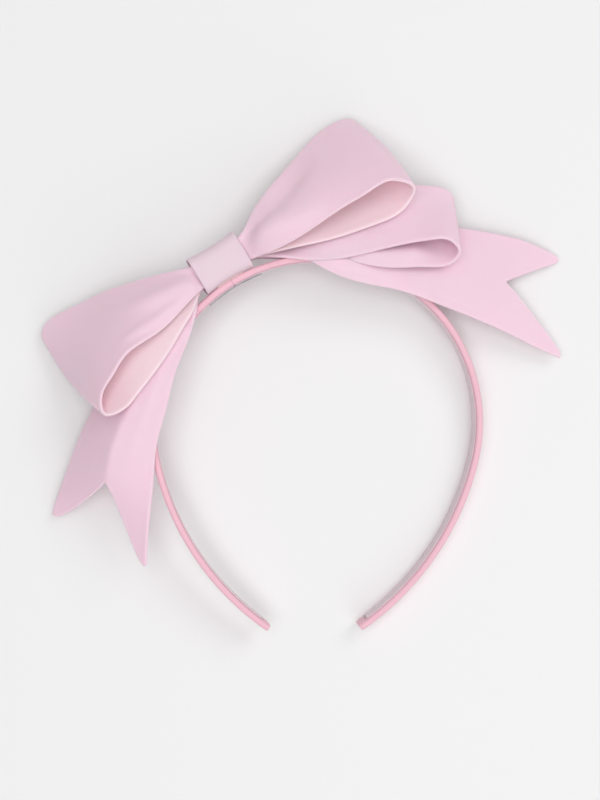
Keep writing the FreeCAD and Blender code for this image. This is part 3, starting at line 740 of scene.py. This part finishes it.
class BandSettings(bpy.types.PropertyGroup):
    """Sizes of the band's cloth."""
    width: a_length("Width", "Width of the covered band", 10 * MM)
    thickness: a_length("Thickness", "Thickness of the covered band", 2.7 * MM)
    wall: a_length("Cloth", "Thickness of the cover's cloth", 0.4 * MM)
    edge_round: a_length("Edge rounding", "Radius where the cloth turns over the edges", 0.9 * MM)
    lining_width: a_length("Lining width", "Width of the inner ribbon", 7.4 * MM)
    lining_cut: a_length("Declared lining width",
                         "Flat width declared for the inner ribbon, which is wider than the ribbon is",
                         10.2 * MM)
    lining_thickness: a_length("Lining thickness", "Thickness of the inner ribbon", 0.4 * MM)
    lining_end_angle: FloatProperty(name="Lining end",
                                    description="Angle from the crown where the lining ends", default=143.5)
    rings: IntProperty(name="Rings", description="Rings along each half of the band", default=240)
    girth_points: IntProperty(name="Girth points", description="Points round the band", default=56)


class BowSettings(bpy.types.PropertyGroup):
    """Sizes of the bow's ribbons."""
    width: a_length("Declared width", "Flat width declared for a ribbon; its cross lines set the built one",
                    46 * MM)
    thickness: a_length("Thickness", "Thickness of the cloth", 1.3 * MM)
    gather: FloatProperty(name="Gather",
                          description="How much thicker the cloth is where it is drawn together",
                          default=0.75)
    edge_roll: a_length("Edge roll", "Radius of the turned edges", 0.75 * MM)
    waist_width: a_length("Waist", "Width drawn in at the knot", 10.4 * MM)
    layer_pitch: a_length("Layer pitch", "Height from one layer to the next in the knot", 2.5 * MM)
    notch_depth: a_length("Notch", "Depth of a tail's swallow cut", 30 * MM)
    rows: IntProperty(name="Rows", description="Rows of faces along a ribbon", default=190)
    columns: IntProperty(name="Columns", description="Columns of faces across a ribbon", default=44)


class KnotSettings(bpy.types.PropertyGroup):
    """Sizes of the strip round the bow's waist."""
    length: a_length("Length", "Width of the strip, along the bow", 20.6 * MM)
    wall: a_length("Wall", "Thickness of the folded strip", 1.2 * MM)
    height: a_length("Height", "Height of the knot across the band", 16.4 * MM)
    depth_away: a_length("Reach away", "From the knot's middle to its outer face", 7.9 * MM)
    band_gap: a_length("Gap to the band", "From the knot's back to the band", 0.35 * MM)
    girth: a_length("Strip length", "Length of the strip once round", 58 * MM)


class ClothSettings(bpy.types.PropertyGroup):
    """Colours and weave."""
    bow: a_colour("Bow", "Colour of the bow's cloth", (0.89, 0.655, 0.75))
    bow_deep: a_colour("Bow, deep", "Darker shade of the bow's cloth", (0.87, 0.605, 0.705))
    # Painted light: a lighter, warmer colour for the face inside a loop, standing in for the light that
    # gathers there.
    inner: a_colour("Inner face", "Colour of the face inside a loop", (0.96, 0.71, 0.765))
    knot: a_colour("Knot", "Colour of the knot's cloth", (0.80, 0.645, 0.71))
    knot_deep: a_colour("Knot, deep", "Darker shade of the knot's cloth", (0.78, 0.605, 0.68))
    band: a_colour("Band", "Colour of the band's cover", (0.87, 0.53, 0.62))
    band_deep: a_colour("Band, deep", "Darker shade of the cover", (0.84, 0.48, 0.57))
    lining: a_colour("Lining", "Colour of the lining", (0.82, 0.68, 0.73))
    lining_deep: a_colour("Lining, deep", "Darker shade of the lining", (0.74, 0.60, 0.65))
    thread: a_length("Thread pitch", "Pitch of the weave", 0.42 * MM)
    relief: a_length("Relief", "Height of the weave", 0.05 * MM)


class StageSettings(bpy.types.PropertyGroup):
    """The table, the light and the camera."""
    floor: a_colour("Table", "Colour of the table", (0.86, 0.86, 0.86))
    camera_height: a_length("Camera height", "Height of the camera above the table", 0.65)
    lens: FloatProperty(name="Lens", description="Focal length in millimetres", default=69.6)
    top_power: FloatProperty(name="Top light", description="Power of the soft light overhead", default=11.0,
                             unit="POWER")
    key_power: FloatProperty(name="Key light", description="Power of the main soft light", default=6.8,
                             unit="POWER")
    fill_power: FloatProperty(name="Fill light", description="Power of the low light from the front right",
                              default=3.0, unit="POWER")
    sky: FloatProperty(name="Sky", description="Strength of the even light from all round", default=0.40)


class HairBandSettings(bpy.types.PropertyGroup):
    """Everything that can be set."""
    band: PointerProperty(type=BandSettings)
    bow: PointerProperty(type=BowSettings)
    knot: PointerProperty(type=KnotSettings)
    cloth: PointerProperty(type=ClothSettings)
    stage: PointerProperty(type=StageSettings)


def cloth_material(cloth, word):
    """The woven material of one part of the band, made once."""
    name = word + "_cloth"
    if name in bpy.data.materials:
        return bpy.data.materials[name]
    # cloth.inner is the colour of the painted light inside the loops.
    return woven(name, tuple(getattr(cloth, word)), tuple(getattr(cloth, word + "_deep")), tuple(cloth.inner),
                 cloth.thread / MM, cloth.relief / MM, sheen=0.18, glow=GLOW[word])


# ---------------------------------------------------------------- operators

class HAIRBAND_OT_hoop(bpy.types.Operator):
    """Finish the hidden hoop, the metal plate, the thread and the glue"""
    bl_idname = "hairband.hoop"
    bl_label = "Hoop and fittings"

    def execute(self, context):
        plastic = moulded("hoop_plastic", (0.80, 0.76, 0.72), (0.72, 0.68, 0.64), 0.42)
        for name in ("core_crown", "core_left_arm", "core_right_arm"):
            dress_node(name, plastic)
        dress_node("inner_plate", bright_plate("plate_metal"))
        cotton = twisted_thread("waist_thread_cotton", (0.78, 0.55, 0.60), (0.58, 0.36, 0.42))
        dress_node("waist_thread", cotton)
        dress_node("glue_pad", moulded("set_glue", (0.84, 0.80, 0.68), (0.74, 0.69, 0.55), 0.22, clear=0.4))
        return {"FINISHED"}


class HAIRBAND_OT_cover(bpy.types.Operator):
    """Cover the hoop with two socks of cloth that meet under the knot"""
    bl_idname = "hairband.cover"
    bl_label = "Band cover"

    def execute(self, context):
        settings = context.scene.hair_band
        for side, word in ((-1, "left"), (1, "right")):
            piece = build_sleeve(settings.band, side, "cover_%s_half" % word)
            dress(piece, cloth_material(settings.cloth, "band"))
            over_joint(piece, side)
            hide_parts("cover_crown", "cover_%s_arm" % word)
        return {"FINISHED"}


class HAIRBAND_OT_lining(bpy.types.Operator):
    """Lay the inner ribbon along the hoop's inner face"""
    bl_idname = "hairband.lining"
    bl_label = "Lining"

    def execute(self, context):
        settings = context.scene.hair_band
        cloth = settings.cloth
        ribbon = ribbed("lining_ribbon", tuple(cloth.lining), tuple(cloth.lining_deep), 0.5)
        for side, word in ((-1, "left"), (1, "right")):
            piece = build_lining(settings.band, side, "lining_%s_half" % word)
            dress(piece, ribbon)
            over_joint(piece, side)
            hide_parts("lining_crown", "lining_%s_arm" % word)
        return {"FINISHED"}


class HAIRBAND_OT_knot(bpy.types.Operator):
    """Wrap the strip round the bow's waist"""
    bl_idname = "hairband.knot"
    bl_label = "Knot"

    def execute(self, context):
        settings = context.scene.hair_band
        piece = build_knot(settings.knot, "knot_strip")
        dress(piece, cloth_material(settings.cloth, "knot"))
        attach(piece, "crown")
        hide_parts("knot_wrap")
        return {"FINISHED"}


class HAIRBAND_OT_loops(bpy.types.Operator):
    """Make the three loops of the bow"""
    bl_idname = "hairband.loops"
    bl_label = "Loops"

    def execute(self, context):
        settings = context.scene.hair_band
        bow = settings.bow
        material = cloth_material(settings.cloth, "bow")
        # The last number says whether the loop's inside face gets the painted light; the second loop's does
        # not.
        for name, side, layers, lines, folds, gets_painted_light in (
                ("right_loop", 1, (0, 1), RIGHT_LOOP, RIGHT_FOLDS, 1),
                ("left_loop", -1, (0, 1), LEFT_LOOP, LEFT_FOLDS, 1),
                ("second_loop", 1, (2, 3), SECOND_LOOP, SECOND_FOLDS, 0)):
            rows = loop_rows(bow, side, layers, lines)
            piece, length, width = build_ribbon(bow, name + "_cloth", rows, folds, painted_light_side=side * gets_painted_light)
            finish_ribbon(piece, name, material)
        return {"FINISHED"}


class HAIRBAND_OT_tails(bpy.types.Operator):
    """Make the two swallow-tailed ends of the bow"""
    bl_idname = "hairband.tails"
    bl_label = "Tails"

    def execute(self, context):
        settings = context.scene.hair_band
        bow = settings.bow
        material = cloth_material(settings.cloth, "bow")
        centre, blunt_mm = 0.5, 5.5
        notch = (centre, bow.notch_depth / MM, blunt_mm)
        for name, side, layer, lines, folds, crease in (
                ("right_tail", 1, 4, RIGHT_TAIL, RIGHT_TAIL_FOLDS, 0.15),
                ("left_tail", -1, 2, LEFT_TAIL, LEFT_TAIL_FOLDS, 0.85)):
            rows = tail_rows(bow, side, layer, lines)
            piece, length, width = build_ribbon(bow, name + "_cloth", rows, folds, notch, crease)
            finish_ribbon(piece, name, material)
        return {"FINISHED"}


class HAIRBAND_OT_stage(bpy.types.Operator):
    """Lay the table, hang the lights and set the camera"""
    bl_idname = "hairband.stage"
    bl_label = "Stage"

    def execute(self, context):
        stage = context.scene.hair_band.stage
        lay_table(stage)
        hang_lights(stage)
        set_camera(stage)
        return {"FINISHED"}


def lay_table(stage):
    """A wide, plain table, a hair below the band's lowest point."""
    half = 3.0
    corners = np.array([(-half, -half, 0), (half, -half, 0), (half, half, 0), (-half, half, 0)])
    table = new_piece("table", corners, np.array([[0, 1, 2, 3]]))
    material, tree, shader = new_material("table_top")
    grain = on_object(tree, "ShaderNodeTexNoise", Scale=6.0, Detail=2.0)
    low = tuple(level * 0.995 for level in stage.floor)
    top = mixed_colour(tree, grain.outputs["Fac"], low, tuple(stage.floor))
    tree.links.new(top, shader.inputs["Base Color"])
    shader.inputs["Roughness"].default_value = 0.9
    shader.inputs["Specular IOR Level"].default_value = 0.0
    dress(table, material)


def hang_light(name, place, target, size, power):
    """One square soft light that faces its target."""
    light = bpy.data.lights.new(name, "AREA")
    light.energy = power
    light.size = size
    lamp = bpy.data.objects.new(name, light)
    lamp.location = place
    lamp.rotation_euler = (Vector(target) - Vector(place)).to_track_quat("-Z", "Y").to_euler()
    bpy.context.scene.collection.objects.link(lamp)


def hang_lights(stage):
    """A wide soft light overhead, one from the upper right, a low one from the front right that reaches
    into the loops, and an even sky."""
    hang_light("top_light", (-0.1, -0.15, 1.5), (0, 0, 0), 1.2, stage.top_power)
    hang_light("key_light", (0.9, 0.8, 1.25), (0, 0, 0), 0.9, stage.key_power)
    hang_light("fill_light", (0.55, -0.95, 0.85), (0, 0, 0), 1.0, stage.fill_power)
    world = bpy.data.worlds.new("sky")
    bpy.context.scene.world = world
    world.use_nodes = True
    background = world.node_tree.nodes["Background"]
    background.inputs["Color"].default_value = (1, 1, 1, 1)
    background.inputs["Strength"].default_value = stage.sky


def set_camera(stage):
    """The camera looks straight down, from a little left of the band's centre and towards its crown."""
    camera = bpy.data.cameras.new("camera")
    camera.lens = stage.lens
    camera.sensor_width = 36.0
    camera.clip_start, camera.clip_end = 0.01, 20.0
    holder = bpy.data.objects.new("camera", camera)
    spot = BAND_CENTRE + np.array([-6.95, 9.3, 0]) * MM
    holder.location = (spot[0], spot[1], stage.camera_height)
    holder.rotation_euler = (0, 0, 0)
    bpy.context.scene.collection.objects.link(holder)
    bpy.context.scene.camera = holder
    bpy.context.scene.view_settings.view_transform = "Standard"


class HAIRBAND_PT_panel(bpy.types.Panel):
    """Lists the pieces in the order they are made"""
    bl_idname = "HAIRBAND_PT_panel"
    bl_label = "Bow Hair Band"
    bl_space_type = "VIEW_3D"
    bl_region_type = "UI"
    bl_category = "Hair Band"

    def draw(self, context):
        for operator in OPERATORS:
            self.layout.operator(operator.bl_idname)
        settings = context.scene.hair_band
        for group in (settings.band, settings.bow, settings.knot, settings.cloth, settings.stage):
            box = self.layout.box()
            for name in group.__annotations__:
                box.prop(group, name)


OPERATORS = (HAIRBAND_OT_hoop, HAIRBAND_OT_cover, HAIRBAND_OT_lining, HAIRBAND_OT_knot, HAIRBAND_OT_loops,
             HAIRBAND_OT_tails, HAIRBAND_OT_stage)
CLASSES = (BandSettings, BowSettings, KnotSettings, ClothSettings, StageSettings, HairBandSettings,
           *OPERATORS, HAIRBAND_PT_panel)


def register():
    """Add the classes and the scene's settings."""
    for item in CLASSES:
        bpy.utils.register_class(item)
    bpy.types.Scene.hair_band = PointerProperty(type=HairBandSettings)


def unregister():
    """Take them away again."""
    del bpy.types.Scene.hair_band
    for item in reversed(CLASSES):
        bpy.utils.unregister_class(item)


def main():
    """Build everything."""
    register()
    bpy.ops.hairband.hoop()
    bpy.ops.hairband.cover()
    bpy.ops.hairband.lining()
    bpy.ops.hairband.knot()
    bpy.ops.hairband.loops()
    bpy.ops.hairband.tails()
    bpy.ops.hairband.stage()


if __name__ == "__main__":
    main()
